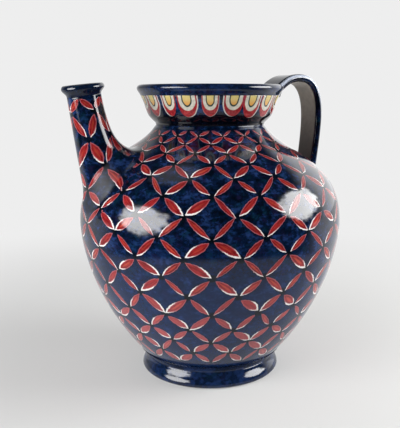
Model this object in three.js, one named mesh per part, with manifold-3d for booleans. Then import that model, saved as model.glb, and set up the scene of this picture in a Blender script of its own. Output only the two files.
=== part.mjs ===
// A round-bellied ceramic jug with a tube spout and a strap handle, as the potter's separate pieces.
// Millimetres, +Z up. The origin is the centre of the flat base, the spout points to -X and the handle to +X.

import * as THREE from 'three';
import { mergeVertices } from 'three/addons/utils/BufferGeometryUtils.js';
import Module from 'manifold-3d';

// Body: a flat base, a belly that is widest above its middle, and a shoulder drawn in to a waist.
const baseRadius = 32; // flat disc under the body
const floorThickness = 9;
const bodyWall = 6.5;
const seamRadius = 72; // where the belly leaves the foot ring
const seamHeight = 23.3;
const seamRise = THREE.MathUtils.degToRad(49); // slope of the belly above the foot
const seamPull = 86; // how far that slope holds
const bellyRadius = 129.5;
const bellyRise = 130.7; // widest ring above the seam
const bellyPullDown = 5; // how long the belly stays upright below and above its widest ring
const bellyPullUp = 64;
const waistRadius = 53.6; // narrowest ring, where the collar is joined on
const shoulderRise = 94.4; // waist above the widest ring
const waistRise = THREE.MathUtils.degToRad(65.6); // slope of the shoulder at the waist
const waistPull = 32.6;

// Foot: a ring of clay round the bottom of the body, flared downwards under a hollow moulding.
const footTuck = 1.8; // how far its widest ring lies inside the seam
const footEdge = 2.2; // height of the rounding at the bottom
const footGroove = 7.7; // depth of the hollow, inside the seam
const footGrooveDrop = 8.5; // its deepest ring, below the seam
const footFlare = 5.1; // how far the flare keeps its slope below that ring
const footHollow = 2.8; // how far the hollow's turn keeps from its corner
const footLedge = 0.6; // step left showing at the seam

// Collar and rim: a flared neck with a rolled edge.
const collarWall = 6;
const collarFlare = 14.4; // how far its top stands out from the waist
const collarRise = 27.6;
const collarSwell = 8; // height of the rounded foot of the collar
const collarSwellReach = 6.4; // how far that foot stands out from the waist
const rimFlare = 3.6; // how far the rim stands out from the collar's top
const rimRise = 10.5;
const rimThickness = 7.5;
const rimRoll = 4; // height of the rounding at the top of the rim

// Spout: a tube on an arc, narrow under its lip and wide where it leaves the shoulder.
const spoutSeatDrop = 43.2; // its centre line leaves the shoulder this far below the waist
const spoutSeatLean = THREE.MathUtils.degToRad(21.4); // lean away from the jug there
const spoutBend = 314; // radius of the arc that the tube follows
const spoutRise = 83.4; // along the arc, from the shoulder's face up to the lip
const spoutBury = 37.3; // along the arc, from the shoulder's face down to the buried end
const spoutThroat = 15.4; // outer radius under the lip
const spoutRoot = 35; // outer radius at the buried end
const spoutWall = 4.5;
const lipRadius = 19.3;
const lipHeight = 9.6;
const lipRoll = 3.5;
const lipMouthRadius = 14;
const crookFill = 5.5; // clay smoothed into the crook of spout and shoulder: its growth at the shoulder
const crookRun = 46; // how far that clay runs up the tube from there
const crookLean = 1.2; // share of that growth by which it leans towards the jug

// Handle: a flat strap that rises from the rim, turns over and runs down to the shoulder.
const strapThickness = 7;
const strapWidthTop = 39;
const strapWidthFoot = 27;
const strapCorner = 2.6;
const crownOut = 24.5; // middle of the strap's turn, outside the rim
const crownRise = 10.7; // top of the strap's turn, above the rim
const gripOut = 49.6; // middle of the strap where it is farthest out, outside the rim
const gripDrop = 34.1; // that place, below the rim
const strapFootDrop = 59.6; // buried lower end, below the waist
const strapFootDepth = 9.3; // how deep that end runs into the body
const strapRootLift = 2.5; // buried upper end, above the collar's top
const strapRootDepth = 2;
const strapRootRise = THREE.MathUtils.degToRad(43);
const strapRootPull = 18; // how long each turn of the strap holds its direction
const crownPullIn = 10;
const crownPullOut = 17;
const gripPullUp = 24;
const gripPullDown = 22;
const strapFootPull = 14;

const seam = 0.3; // joint left between pieces that are pressed together on a curve

// Heights and radii that follow from these, each piece standing on the one below.
const bellyHeight = seamHeight + bellyRise;
const waistHeight = bellyHeight + shoulderRise;
const collarTopHeight = waistHeight + collarRise;
const collarTopRadius = waistRadius + collarFlare;
const rimHeight = collarTopHeight + rimRise;
const rimRadius = collarTopRadius + rimFlare;
const spoutLength = spoutBury + spoutRise;

// How finely curved faces are cut.
const turnSteps = 48;
const tubeSteps = 24;
const curveSteps = 10;
const cornerSteps = 4;

const vec = (x, y) => new THREE.Vector2(x, y);
const along = (angle, length) => vec(Math.cos(angle), Math.sin(angle)).multiplyScalar(length);

const wasm = await Module();
wasm.setup();

// Closed mesh to solid and back, for cuts.
function solidOf(geometry) {
  const bare = geometry.clone();
  bare.deleteAttribute('normal');
  bare.deleteAttribute('uv');
  const merged = mergeVertices(bare, 1e-4);
  const vertProperties = new Float32Array(merged.attributes.position.array);
  const triVerts = new Uint32Array(merged.index.array);
  return new wasm.Manifold(new wasm.Mesh({ numProp: 3, vertProperties, triVerts }));
}

function geometryOf(solid) {
  const mesh = solid.getMesh();
  const geometry = new THREE.BufferGeometry();
  geometry.setAttribute('position', new THREE.BufferAttribute(new Float32Array(mesh.vertProperties), 3));
  geometry.setIndex(new THREE.BufferAttribute(new Uint32Array(mesh.triVerts), 1));
  geometry.computeVertexNormals();
  return geometry;
}

function cut(geometry, ...tools) {
  let solid = solidOf(geometry);
  for (const tool of tools) solid = solid.subtract(solidOf(tool));
  return geometryOf(solid);
}

// Turned on the wheel: a profile of (radius, height) points spun about +Z.
function thrown(profile, steps = turnSteps) {
  return new THREE.LatheGeometry(profile, steps).rotateX(Math.PI / 2);
}

// A profile moved sideways by a distance, to the right of its direction of travel.
function shifted(points, distance) {
  return points.map((point, i) => {
    const before = points[Math.max(i - 1, 0)];
    const after = points[Math.min(i + 1, points.length - 1)];
    const travel = after.clone().sub(before).normalize();
    return vec(point.x + travel.y * distance, point.y - travel.x * distance);
  });
}

// Quarter of an ellipse from one point to the next, leaving along the vertical or the horizontal.
function quarterRound(from, to, startsUpright) {
  const corner = startsUpright ? vec(from.x, to.y) : vec(to.x, from.y);
  const centre = from.clone().add(to).sub(corner);
  return Array.from({ length: cornerSteps + 1 }, (_, i) => {
    const angle = (Math.PI / 2) * (i / cornerSteps);
    const leave = from.clone().sub(centre).multiplyScalar(Math.cos(angle));
    const arrive = to.clone().sub(centre).multiplyScalar(Math.sin(angle));
    return centre.clone().add(leave).add(arrive);
  });
}

// Outer face of the belly, from the seam above the foot up to the waist.
const seamPoint = vec(seamRadius, seamHeight);
const bellyPoint = vec(bellyRadius, bellyHeight);
const waistPoint = vec(waistRadius, waistHeight);
const lowerBelly = new THREE.CubicBezierCurve(
  seamPoint,
  seamPoint.clone().add(along(seamRise, seamPull)),
  vec(bellyRadius, bellyHeight - bellyPullDown),
  bellyPoint,
);
const upperBelly = new THREE.CubicBezierCurve(
  bellyPoint,
  vec(bellyRadius, bellyHeight + bellyPullUp),
  waistPoint.clone().add(along(-waistRise, waistPull)),
  waistPoint,
);
const bellyFace = [...lowerBelly.getPoints(curveSteps), ...upperBelly.getPoints(curveSteps).slice(1)];

// Outer radius of the belly at a height, between the points of its face.
function bellyRadiusAt(height) {
  const i = bellyFace.findIndex((point) => point.y >= height);
  const [below, above] = [bellyFace[i - 1], bellyFace[i]];
  return THREE.MathUtils.mapLinear(height, below.y, above.y, below.x, above.x);
}

// Outer face of the collar, from the waist to the underside of the rim.
const collarFace = new THREE.SplineCurve([
  waistPoint,
  vec(waistRadius + collarSwellReach, waistHeight + collarSwell),
  vec(collarTopRadius, collarTopHeight),
]).getPoints(curveSteps);

// Outer face of the rolled rim, from the collar to the crest.
const rimShoulder = vec(rimRadius, rimHeight - rimRoll);
const rimCrest = vec(rimRadius - rimThickness / 2, rimHeight);
const rimFace = [
  vec(collarTopRadius, collarTopHeight),
  vec((collarTopRadius + rimRadius) / 2, (collarTopHeight + rimShoulder.y) / 2),
  ...quarterRound(rimShoulder, rimCrest, true),
];

// The whole outside as one filled shape, grown by the joint's width. The spout and strap are cut to it.
const outside = [...bellyFace, ...collarFace.slice(1), ...rimFace.slice(1)];
const outsideFilled = thrown([
  vec(0, seamHeight),
  ...shifted(outside, seam),
  vec(0, rimHeight + seam),
]);

// Centre line of the spout: an arc in the XZ plane that crosses the shoulder's face at its seat.
// Heights on it count up from the buried end to the lip.
const seatHeight = waistHeight - spoutSeatDrop;
const seatReach = bellyRadiusAt(seatHeight);
function onSpout(height) {
  const lean = spoutSeatLean + (spoutBury - height) / spoutBend;
  const x = -seatReach + spoutBend * (Math.cos(spoutSeatLean) - Math.cos(lean));
  const z = seatHeight + spoutBend * (Math.sin(spoutSeatLean) - Math.sin(lean));
  return {
    centre: new THREE.Vector3(x, 0, z),
    across: new THREE.Vector3(-Math.cos(lean), 0, -Math.sin(lean)),
    side: new THREE.Vector3(0, -1, 0),
  };
}

// Carries a piece that stands on +Z along a curve: its height picks the place on the curve.
function carried(geometry, frameAt) {
  const places = geometry.attributes.position;
  for (let i = 0; i < places.count; i += 1) {
    const frame = frameAt(places.getZ(i));
    const place = frame.centre
      .addScaledVector(frame.across, places.getX(i))
      .addScaledVector(frame.side, places.getY(i));
    places.setXYZ(i, place.x, place.y, place.z);
  }
  geometry.computeVertexNormals();
  return geometry;
}

const tubeTop = spoutLength - lipHeight;
const spoutRadiusAt = (height) => spoutThroat + (spoutRoot - spoutThroat) * (1 - height / tubeTop) ** 2;
const tubeHeights = Array.from({ length: curveSteps + 1 }, (_, i) => tubeTop * (i / curveSteps));

// A closed tube wall between an outer and an inner radius, bent on the spout's arc.
function spoutSleeve(heights, outerAt, innerAt) {
  const outer = heights.map((height) => vec(outerAt(height), height));
  const inner = heights.map((height) => vec(innerAt(height), height)).reverse();
  return carried(thrown([...outer, ...inner, outer[0].clone()], tubeSteps), onSpout);
}

// A filled rod of the spout's radius, bent on the spout's arc.
function spoutRod(heights, radiusAt) {
  const face = heights.map((height) => vec(radiusAt(height), height));
  const rod = [vec(0, heights[0]), ...face, vec(0, heights.at(-1))];
  return carried(thrown(rod, tubeSteps), onSpout);
}

function bodyShell() {
  const inner = shifted(bellyFace, -bodyWall).filter((_, i) => i % 2 === 0);
  inner[inner.length - 1] = vec(waistRadius - bodyWall, waistHeight);
  const bowlEdge = inner[0];
  const bowl = new THREE.QuadraticBezierCurve(
    bowlEdge,
    vec(bowlEdge.x - (bowlEdge.y - floorThickness) / Math.tan(seamRise), floorThickness),
    vec(0, floorThickness),
  ).getPoints(cornerSteps);
  const profile = [vec(0, 0), vec(baseRadius, 0), ...bellyFace, ...inner.reverse(), ...bowl.slice(1)];
  const bore = spoutRod(tubeHeights, (height) => spoutRadiusAt(height) - spoutWall);
  return cut(thrown(profile), bore);
}

function footRing() {
  const inside = vec(baseRadius + seam, 0);
  const widest = vec(seamRadius - footTuck, footEdge);
  const groove = vec(seamRadius - footGroove, seamHeight - footGrooveDrop);
  const ledge = vec(seamRadius + seam + footLedge, seamHeight);
  const flare = new THREE.QuadraticBezierCurve(widest, vec(widest.x, groove.y - footFlare), groove);
  const hollowTurn = vec(groove.x + footHollow, ledge.y - footHollow);
  const hollow = new THREE.QuadraticBezierCurve(groove, hollowTurn, ledge);
  const profile = [
    inside,
    ...quarterRound(vec(widest.x - footEdge, 0), widest, false),
    ...flare.getPoints(curveSteps).slice(1),
    ...hollow.getPoints(cornerSteps).slice(1),
    vec(seamRadius + seam, seamHeight),
    inside.clone(),
  ];
  return thrown(profile);
}

function neckCollar() {
  const inner = shifted(collarFace, -collarWall).filter((_, i) => i % 2 === 0);
  inner[0] = vec(waistRadius - collarWall, waistHeight);
  inner[inner.length - 1] = vec(collarTopRadius - collarWall, collarTopHeight);
  return thrown([...collarFace, ...inner.reverse(), waistPoint.clone()]);
}

function rimRollRing() {
  const innerCrest = vec(rimRadius - rimThickness, rimHeight - rimRoll);
  const profile = [
    ...rimFace,
    ...quarterRound(rimCrest, innerCrest, false).slice(1),
    vec(collarTopRadius - collarWall, collarTopHeight),
    rimFace[0].clone(),
  ];
  return thrown(profile);
}

function spoutTube() {
  const sleeve = spoutSleeve(tubeHeights, spoutRadiusAt, (height) => spoutRadiusAt(height) - spoutWall);
  return cut(sleeve, outsideFilled);
}

function spoutLip() {
  const bottom = tubeTop + seam;
  const flare = vec(lipRadius, spoutLength - lipRoll);
  const crest = vec((lipRadius + lipMouthRadius) / 2, spoutLength);
  const mouth = vec(lipMouthRadius, spoutLength - lipRoll);
  const profile = [
    vec(spoutThroat, bottom),
    vec((spoutThroat + lipRadius) / 2, (bottom + flare.y) / 2),
    ...quarterRound(flare, crest, true),
    ...quarterRound(crest, mouth, false).slice(1),
    vec(spoutThroat - spoutWall, bottom),
    vec(spoutThroat, bottom),
  ];
  return carried(thrown(profile, tubeSteps), onSpout);
}

// Clay smoothed into the crook between the spout and the shoulder: a trumpet that leans off the tube towards
// the jug, so that it thins out to nothing along the underside.
function spoutCrookFill() {
  const crookTop = spoutBury + crookRun;
  const fillAt = (height) => crookFill * ((crookTop - height) / crookRun) ** 2;
  const heights = [...tubeHeights.filter((height) => height < crookTop), crookTop];
  const leaningFrame = (height) => {
    const frame = onSpout(height);
    frame.centre.addScaledVector(frame.across, -crookLean * fillAt(height));
    return frame;
  };
  const face = heights.map((height) => vec(spoutRadiusAt(height) + fillAt(height), height));
  const trumpet = thrown([vec(0, heights[0]), ...face, vec(0, crookTop)], tubeSteps);
  const tube = spoutRod(tubeHeights, (height) => spoutRadiusAt(height) + seam);
  return cut(carried(trumpet, leaningFrame), outsideFilled, tube);
}

// Centre line of the strap, from inside the rim over the crown and down into the shoulder.
const inPlane = (x, z) => new THREE.Vector3(x, 0, z);
const raised = (point, dx, dz) => point.clone().add(inPlane(dx, dz));
const strapFootHeight = waistHeight - strapFootDrop;
const strapRoot = inPlane(collarTopRadius - strapRootDepth, collarTopHeight + strapRootLift);
const crown = inPlane(rimRadius + crownOut, rimHeight + crownRise - strapThickness / 2);
const grip = inPlane(rimRadius + gripOut, rimHeight - gripDrop);
const strapFoot = inPlane(bellyRadiusAt(strapFootHeight) - strapFootDepth, strapFootHeight);
const footTurn = Math.atan2(grip.z - strapFoot.z, grip.x - strapFoot.x);
const strapLine = new THREE.CurvePath();
strapLine.add(new THREE.CubicBezierCurve3(
  strapRoot,
  raised(strapRoot, strapRootPull * Math.cos(strapRootRise), strapRootPull * Math.sin(strapRootRise)),
  raised(crown, -crownPullIn, 0),
  crown,
));
strapLine.add(new THREE.CubicBezierCurve3(
  crown,
  raised(crown, crownPullOut, 0),
  raised(grip, 0, gripPullUp),
  grip,
));
strapLine.add(new THREE.CubicBezierCurve3(
  grip,
  raised(grip, 0, -gripPullDown),
  raised(strapFoot, strapFootPull * Math.cos(footTurn), strapFootPull * Math.sin(footTurn)),
  strapFoot,
));

function strapFrame(share) {
  const travel = strapLine.getTangentAt(THREE.MathUtils.clamp(share, 0, 1));
  return {
    centre: strapLine.getPointAt(THREE.MathUtils.clamp(share, 0, 1)),
    across: new THREE.Vector3(travel.z, 0, -travel.x),
    side: new THREE.Vector3(0, 1, 0),
  };
}

// A flat strap with rounded corners, narrowing towards its foot.
function handleStrap() {
  const inThick = strapThickness / 2 - strapCorner;
  const inWide = strapWidthTop / 2 - strapCorner;
  const section = new THREE.Shape();
  section.absarc(inThick, inWide, strapCorner, 0, Math.PI / 2);
  section.absarc(-inThick, inWide, strapCorner, Math.PI / 2, Math.PI);
  section.absarc(-inThick, -inWide, strapCorner, Math.PI, Math.PI * 1.5);
  section.absarc(inThick, -inWide, strapCorner, Math.PI * 1.5, Math.PI * 2);
  const bar = new THREE.ExtrudeGeometry(section, {
    depth: 1,
    steps: curveSteps * 3,
    curveSegments: cornerSteps - 1,
    bevelEnabled: false,
  });
  const places = bar.attributes.position;
  for (let i = 0; i < places.count; i += 1) {
    const width = THREE.MathUtils.lerp(strapWidthFoot, strapWidthTop, (1 - places.getZ(i)) ** 2);
    places.setY(i, places.getY(i) * (width / strapWidthTop));
  }
  return cut(carried(bar, strapFrame), outsideFilled);
}

const glaze = { cobalt: 0x12203f, collar: 0xb9a777, strap: 0x1b2438, patterned: 0x33293f };

function piece(name, geometry, color, roughness) {
  const mesh = new THREE.Mesh(geometry, new THREE.MeshStandardMaterial({ color, roughness, metalness: 0 }));
  mesh.name = name;
  return mesh;
}

const jug = new THREE.Group();
jug.add(
  piece('body_shell', bodyShell(), glaze.patterned, 0.12),
  piece('foot_ring', footRing(), glaze.cobalt, 0.15),
  piece('neck_collar', neckCollar(), glaze.collar, 0.15),
  piece('rim_roll', rimRollRing(), glaze.cobalt, 0.15),
  piece('spout_tube', spoutTube(), glaze.patterned, 0.12),
  piece('spout_lip', spoutLip(), glaze.cobalt, 0.15),
  piece('spout_crook_fill', spoutCrookFill(), glaze.patterned, 0.12),
  piece('handle_strap', handleStrap(), glaze.strap, 0.18),
);

export default jug;
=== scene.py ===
import math

import bmesh
import bpy
import numpy as np
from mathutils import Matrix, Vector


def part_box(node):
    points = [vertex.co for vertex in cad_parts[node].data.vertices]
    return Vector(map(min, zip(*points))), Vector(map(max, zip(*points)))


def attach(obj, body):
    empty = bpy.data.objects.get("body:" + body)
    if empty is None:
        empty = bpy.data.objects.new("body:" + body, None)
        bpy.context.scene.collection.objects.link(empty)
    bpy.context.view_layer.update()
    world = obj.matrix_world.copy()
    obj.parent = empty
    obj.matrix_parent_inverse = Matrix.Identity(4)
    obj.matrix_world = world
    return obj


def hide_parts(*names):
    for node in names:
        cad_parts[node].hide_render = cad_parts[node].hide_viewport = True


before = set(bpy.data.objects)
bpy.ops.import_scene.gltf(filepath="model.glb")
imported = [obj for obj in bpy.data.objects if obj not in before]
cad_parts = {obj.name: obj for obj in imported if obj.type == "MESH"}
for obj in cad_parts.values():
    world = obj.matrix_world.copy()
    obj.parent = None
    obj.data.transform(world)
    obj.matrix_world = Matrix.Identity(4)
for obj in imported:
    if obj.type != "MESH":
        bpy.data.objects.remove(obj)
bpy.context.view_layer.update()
mm = 0.001  # sizes below are in millimetres, meshes in metres
print("frame loaded:", sorted(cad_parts))


def newObject(name, data):
    # object in the scene, at the origin
    made = bpy.data.objects.new(name, data)
    bpy.context.scene.collection.objects.link(made)
    return made


# Camera
photoCamera = {
    "turn": 27.0,  # degrees from the jug's front towards the spout
    "distance": 0.64,  # metres, as the height
    "height": 0.2762,
    "pitch": 10.507,  # degrees down
    "focal": 640.0,  # pixels
    "frame": (400, 428),
    "axisColumn": 210.0,  # pixel column of the jug's axis
    "sensor": 36,
}


def makeCamera(s):
    turn = math.radians(s["turn"])
    across, down = s["frame"]
    lens = bpy.data.cameras.new("photoCamera")
    lens.sensor_fit = "VERTICAL"
    lens.sensor_height = s["sensor"]
    lens.lens = s["sensor"] * s["focal"] / down
    lens.shift_x = (across / 2 - s["axisColumn"]) / down
    camera = newObject("photoCamera", lens)
    camera.location = (-math.sin(turn) * s["distance"], -math.cos(turn) * s["distance"], s["height"])
    camera.rotation_euler = (math.radians(90 - s["pitch"]), 0, -turn)
    bpy.context.scene.camera = camera


makeCamera(photoCamera)
print("camera placed")


# Lines and grids
def bezier(points, count):
    # cubic Bezier of four points, or of four rows of points, at even shares
    a, b, c, d = np.asarray(points, float)
    t = np.linspace(0, 1, count).reshape(-1, *[1] * a.ndim)
    return (1 - t) ** 3 * a + 3 * (1 - t) ** 2 * t * b + 3 * (1 - t) * t ** 2 * c + t ** 3 * d


def throughPoints(points, count):
    # cubic through every point, each slope taken from its two neighbours
    p = np.asarray(points, float)
    p = np.vstack([2 * p[0] - p[1], p, 2 * p[-1] - p[-2]])
    t = np.linspace(0, len(p) - 3, count)
    i = np.minimum(t.astype(int), len(p) - 4)
    f = (t - i)[:, None]
    a, b, c, d = p[i], p[i + 1], p[i + 2], p[i + 3]
    return 0.5 * (2 * b + (c - a) * f + (2 * a - 5 * b + 4 * c - d) * f ** 2
                  + (3 * b - a - 3 * c + d) * f ** 3)


def quarterRound(start, end, upright, count):
    # quarter of an ellipse from start to end, leaving upright or level
    start, end = np.asarray(start, float), np.asarray(end, float)
    corner = np.array([start[0], end[1]] if upright else [end[0], start[1]])
    middle = start + end - corner
    angle = np.linspace(0, np.pi / 2, count)[:, None]
    return middle + (start - middle) * np.cos(angle) + (end - middle) * np.sin(angle)


def joined(*lines):
    # lines end to end, with shared points kept once
    line = np.vstack(lines)
    step = np.linalg.norm(np.diff(line, axis=0), axis=1)
    return line[np.append(True, step > 1e-6)]


def lengthAlong(line):
    # distance run from the start to each point
    return np.append(0, np.cumsum(np.linalg.norm(np.diff(line, axis=0), axis=1)))


def directionAlong(line):
    # direction of travel at each point, of length one
    travel = np.gradient(line, axis=0)
    return travel / np.linalg.norm(travel, axis=1)[:, None]


def toTheLeft(line, distance):
    # line moved sideways, to the left of its direction of travel
    travel = directionAlong(line)
    return line + distance * np.stack([-travel[:, 1], travel[:, 0]], 1)


def rolledEdge(foot, radii, top, roll, wall, pulls, roundCount):
    # outline of a rim: a flare up from the foot, two quarter rounds over the crest, and down the back
    foot = np.array(foot, float)
    root = foot - (wall, 0)
    side, inside = [np.array([radius, top - roll]) for radius in radii]
    crest = (sum(radii) / 2, top)
    flare, below, back = pulls
    return joined(bezier([foot, foot + flare, side - below, side], count=14),
                  quarterRound(side, crest, upright=True, count=roundCount),
                  quarterRound(crest, inside, upright=False, count=roundCount),
                  bezier([inside, inside - (0, 2), root + back, root], count=8))


def outwards(degrees, length):
    # step in the plane of a profile, at an angle above level
    return length * np.array([math.cos(math.radians(degrees)), math.sin(math.radians(degrees))])


def ease(value, low, high):
    # smooth step from 0 at low to 1 at high
    t = np.clip((value - low) / (high - low), 0, 1)
    return t * t * (3 - 2 * t)


def fullTurn(count):
    return np.linspace(0, 2 * np.pi, count, endpoint=False)


def aboutAxis(radius, angle, height):
    return np.stack(np.broadcast_arrays(radius * np.cos(angle), radius * np.sin(angle), height), -1)


def thrown(line, turns):
    # profile of (radius, height) points turned about Z: a grid of heights by angles
    return aboutAxis(line[:, :1], fullTurn(turns), line[:, 1:])


def gridFaces(rows, columns, closeRows=False):
    # corners of the faces of a grid that is closed round its columns
    i = np.arange(rows if closeRows else rows - 1)[:, None]
    j = np.arange(columns)[None, :]
    here, above = i * columns, (i + 1) % rows * columns
    after = (j + 1) % columns
    return np.stack([here + j, here + after, above + after, above + j], -1)


def newMesh(name, grid, faces):
    mesh = bpy.data.meshes.new(name)
    mesh.from_pydata(grid.reshape(-1, 3).tolist(), [], faces.reshape(-1, 4).tolist())
    return mesh


def weld(mesh, gap=1e-7):
    # points that share a place, as at a pole, become one
    shape = bmesh.new()
    shape.from_mesh(mesh)
    bmesh.ops.remove_doubles(shape, verts=shape.verts, dist=gap)
    shape.to_mesh(mesh)
    shape.free()


def addPiece(name, grid, nodes, materials, closeRows=True, maps=None, marks=None,
             faceMaterial=None):
    # grid of points, rows by columns, closed round its columns. maps are corner values with one more
    # column (and row, where the rows close); marks are values of the points
    faces = gridFaces(*grid.shape[:2], closeRows)
    mesh = newMesh(name, grid * mm, faces)
    for label, values in (maps or {}).items():
        corners = np.stack([values[:-1, :-1], values[:-1, 1:], values[1:, 1:], values[1:, :-1]], 2)
        layer = mesh.uv_layers.new(name=label)
        layer.uv.foreach_set("vector", corners.astype(np.float32).ravel())
    for label, values in (marks or {}).items():
        layer = mesh.attributes.new(label, "FLOAT", "POINT")
        layer.data.foreach_set("value", values.astype(np.float32).ravel())
    if faceMaterial is not None:
        index = np.broadcast_to(faceMaterial[:, None], faces.shape[:2])
        mesh.polygons.foreach_set("material_index", index.astype(np.int32).ravel())
    for material in materials:
        mesh.materials.append(material)
    weld(mesh)
    mesh.polygons.foreach_set("use_smooth", np.ones(len(mesh.polygons), bool))
    piece = newObject(name, mesh)
    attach(piece, "root")
    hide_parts(*nodes)
    print(name, "made:", len(mesh.polygons), "faces")
    return piece


def boxOf(node):
    low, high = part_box(node)
    return np.array(low) / mm, np.array(high) / mm


# Outline of the body: a belly on a foot, a shoulder and a waist
footTop = boxOf("foot_ring")[1][2]
bellyWide, waistTall = boxOf("body_shell")[1][1:]
rimWide, rimTall = boxOf("rim_roll")[1][1:]

bodyForm = {
    "baseRadius": 32,
    "floor": 9,
    "wall": 6.5,
    "seamRadius": 72,
    "seamRise": 49,  # degrees, slope of the belly above the foot
    "seamPull": 86,
    "bellyHeight": 154,
    "pullDown": 5,
    "pullUp": 64,
    "waistRadius": 53.6,
    "waistRise": 61.5,  # degrees, slope of the shoulder below the waist
    "waistPull": 32.6,
    "grooveStart": 3.4,  # the waist is rounded from this far below its narrowest ring
    "grooveDepth": 0.2,
    "bareWaist": (7, 3),  # the lattice fades out between these heights below the waist
    "bareFoot": (7.6, 6.4),  # and above the foot's seam
    "turns": 192,
}


def bellyOutline(s):
    # two cubics that are upright at the widest ring, and a small one that rounds the waist
    seam = np.array([s["seamRadius"], footTop])
    belly = np.array([bellyWide, s["bellyHeight"]])
    waist = np.array([s["waistRadius"], waistTall])
    fromSeam = seam + outwards(s["seamRise"], s["seamPull"])
    toWaist = waist + outwards(-s["waistRise"], s["waistPull"])
    lower = bezier([seam, fromSeam, belly - (0, s["pullDown"]), belly], count=60)
    upper = bezier([belly, belly + (0, s["pullUp"]), toWaist, waist], count=90)
    upper = upper[upper[:, 1] < waistTall - s["grooveStart"]]
    turn = upper[-1] + outwards(180 - s["waistRise"], s["grooveStart"] / 2)
    narrow = waist - (s["grooveDepth"], 0)
    groove = bezier([upper[-1], turn, narrow - (0, s["grooveStart"] / 3), narrow], count=10)
    return joined(lower, upper, groove)


bellyLine = bellyOutline(bodyForm)
bellyLength = lengthAlong(bellyLine)


def bellyRadius(height):
    # of the outer face
    return np.interp(height, bellyLine[:, 1], bellyLine[:, 0])


def onBelly(angle, length):
    # point of the outer face at an angle and a length up its outline
    radius, height = [np.interp(length, bellyLength, bellyLine[:, k]) for k in (0, 1)]
    return aboutAxis(radius, angle, height)


# Painted lattice: petals join nodes on staggered rows
lattice = {
    "columns": 17,
    "phase": 0.9,  # degrees by which a column lies right of the camera's line
    "rows": (251, 245.5, 239.5, 232.7, 225.5, 217.4, 207.3, 194, 177.3, 160.4, 142.5, 125.2, 107.3,
             89.5, 72.8, 58.5, 44.5, 30.5, 16),
    "firstRow": -4,
    "crowd": 0.2,  # half columns by which the painter crowded the side towards the camera
    "mostSlope": 3,  # length of face to a length of height, at most
}
cameraAngle = -90 - photoCamera["turn"]  # direction of the camera about Z


def latticePlace(points):
    # half columns to the right of the camera's line, rows down from the shoulder, and the size of both
    angle = np.degrees(np.arctan2(points[..., 1], points[..., 0]))
    right = (angle - cameraAngle + 180) % 360 - 180
    step = 180 / lattice["columns"]
    rows = np.array(lattice["rows"])
    number = np.arange(len(rows)) + lattice["firstRow"]
    row = np.interp(points[..., 2], rows[::-1], number[::-1])
    tall = np.interp(row, number, np.abs(np.gradient(rows)))
    radius = np.hypot(points[..., 0], points[..., 1])
    slopes = np.gradient(bellyLength) / np.gradient(bellyLine[:, 1])
    slope = np.minimum(np.interp(points[..., 2], bellyLine[:, 1], slopes), lattice["mostSlope"])
    column = (right - lattice["phase"]) / step + lattice["crowd"] * np.sin(np.radians(right))
    return column, row, radius * math.radians(step), tall * slope


def latticeMaps(column, row, wide, tall):
    return {"lattice": np.stack([column, row], -1), "cell": np.stack([wide, tall], -1)}


# Node helpers. A nodeValue is one output of a node, and its sums and products become nodes of its tree
class nodeValue:
    def __init__(self, socket):
        self.socket = socket
        self.tree = socket.id_data

    def __add__(self, other):
        return maths("ADD", self, other)

    def __sub__(self, other):
        return maths("SUBTRACT", self, other)

    def __rsub__(self, other):
        return maths("SUBTRACT", other, self)

    def __mul__(self, other):
        return maths("MULTIPLY", self, other)

    def __truediv__(self, other):
        return maths("DIVIDE", self, other)

    def __abs__(self):
        return maths("ABSOLUTE", self)


def treeOf(*values):
    return next(value.tree for value in values if isinstance(value, nodeValue))


def emptyTree(holder):
    holder.use_nodes = True
    holder.node_tree.nodes.clear()
    return holder.node_tree


def feed(value, socket):
    if isinstance(value, nodeValue):
        value.tree.links.new(value.socket, socket)
    elif value is not None:
        socket.default_value = value


def place(tree, kind, *values, inputs=None, **settings):
    # new node with its settings, its first inputs in order and other inputs by name
    made = tree.nodes.new("ShaderNode" + kind)
    for name, value in settings.items():
        setattr(made, name, value)
    for socket, value in zip(made.inputs, values):
        feed(value, socket)
    for label, value in (inputs or {}).items():
        feed(value, made.inputs[label])
    return made


def take(tree, kind, *values, output=0, **settings):
    return nodeValue(place(tree, kind, *values, **settings).outputs[output])


def takeAll(sockets):
    return {socket.name: nodeValue(socket) for socket in sockets if socket.name}


def maths(operation, *values, **settings):
    return take(treeOf(*values), "Math", *values, operation=operation, **settings)


def ramp(value, low, high, start, end, **settings):
    # straight line from start at low to end at high, level beyond them
    return take(value.tree, "MapRange", value, low, high, start, end, **settings)


def between(share, start, end):
    return ramp(share, 0.0, 1.0, start, end)


def easeNode(value, low, high):
    return ramp(value, low, high, 0.0, 1.0, interpolation_type="SMOOTHSTEP")


def split(value, kind="XYZ"):
    return [nodeValue(socket) for socket in place(value.tree, "Separate" + kind, value).outputs]


def paint(colour):
    # colour as it looks on a screen, turned into light
    seen = np.array(colour) / 255
    light = np.where(seen <= 0.04045, seen / 12.92, ((seen + 0.055) / 1.055) ** 2.4)
    return (*light.tolist(), 1.0)


def mixPaint(share, under, over):
    # mix of two colours, each an output or three numbers as on a screen
    made = place(treeOf(share, under, over), "Mix", data_type="RGBA")
    feed(share, made.inputs[0])
    for colour, socket in ((under, made.inputs[6]), (over, made.inputs[7])):
        feed(colour if isinstance(colour, nodeValue) else paint(colour), socket)
    return nodeValue(made.outputs[2])


def noise(vector, scale, detail=3.0, roughness=0.55, output="Fac"):
    inputs = {"Vector": vector, "Scale": scale, "Detail": detail, "Roughness": roughness}
    return take(vector.tree, "TexNoise", output=output, inputs=inputs)


def bumped(height, depth, normal=None):
    # normal tilted by a height whose full range is a depth in millimetres
    inputs = {"Strength": 1.0, "Distance": depth * mm, "Height": height, "Normal": normal}
    return take(height.tree, "Bump", inputs=inputs)


socketKinds = {"Place": "Vector", "Paint": "Color"}  # the other sockets are Float


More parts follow.
